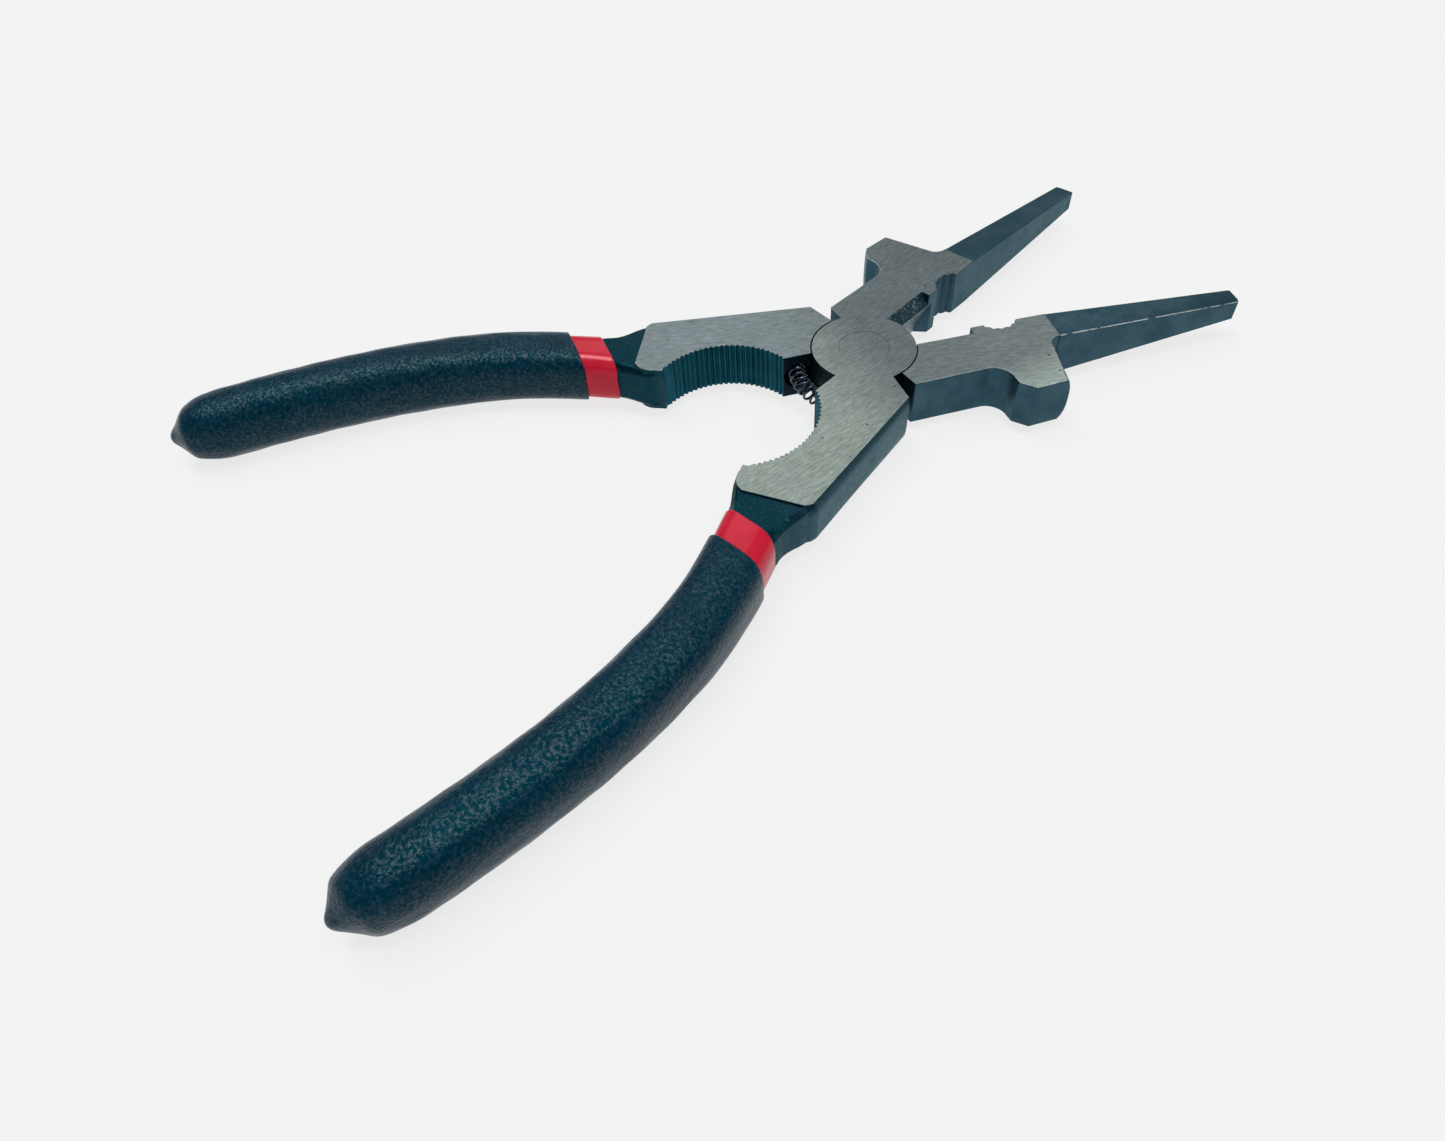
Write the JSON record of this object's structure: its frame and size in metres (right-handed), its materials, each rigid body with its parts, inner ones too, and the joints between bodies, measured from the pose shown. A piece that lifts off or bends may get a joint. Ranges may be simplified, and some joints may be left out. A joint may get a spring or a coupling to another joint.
{
  "type": "welding pliers",
  "caption": "Spring-loaded wire-welding pliers with long flat noses, a serrated nozzle grip, a side cutter, hammer horns and dipped vinyl handles.",
  "frame": {"origin": "on the pivot axis, at the back face of the rivet and head", "axes": "+Y towards the jaw tips, midway between the open levers; +Z from the back face to the front face; lever A's handle is on the +X side"},
  "size_m": [0.1166, 0.1943, 0.0131],
  "materials": {
    "forged_steel": "ground bright on the two faces of the head, black oxide with a blue-green cast elsewhere",
    "rivet_steel": "ground flush with the head",
    "spring_steel": "blackened spring wire with a satin sheen",
    "red_vinyl": "glossy dipped vinyl",
    "dark_vinyl": "finely wrinkled dipped vinyl, satin"
  },
  "bodies": {
    "far_lever": {"lever_b": "forged_steel", "inner_sleeve_b": "red_vinyl", "outer_grip_b": "dark_vinyl", "return_spring": "spring_steel"},
    "near_lever": {"lever_a": "forged_steel", "inner_sleeve_a": "red_vinyl", "outer_grip_a": "dark_vinyl", "pivot_rivet": "rivet_steel"}
  },
  "joints": [
    {"name": "pivot", "type": "hinge", "parent": "far_lever", "child": "near_lever", "pos_m": [0, 0, 0.00467], "axis": [0, 0, 1], "range_deg": [-33.84, 10], "stiffness_Nm_per_rad": 0.33, "deforming": ["return_spring"]}
  ]
}
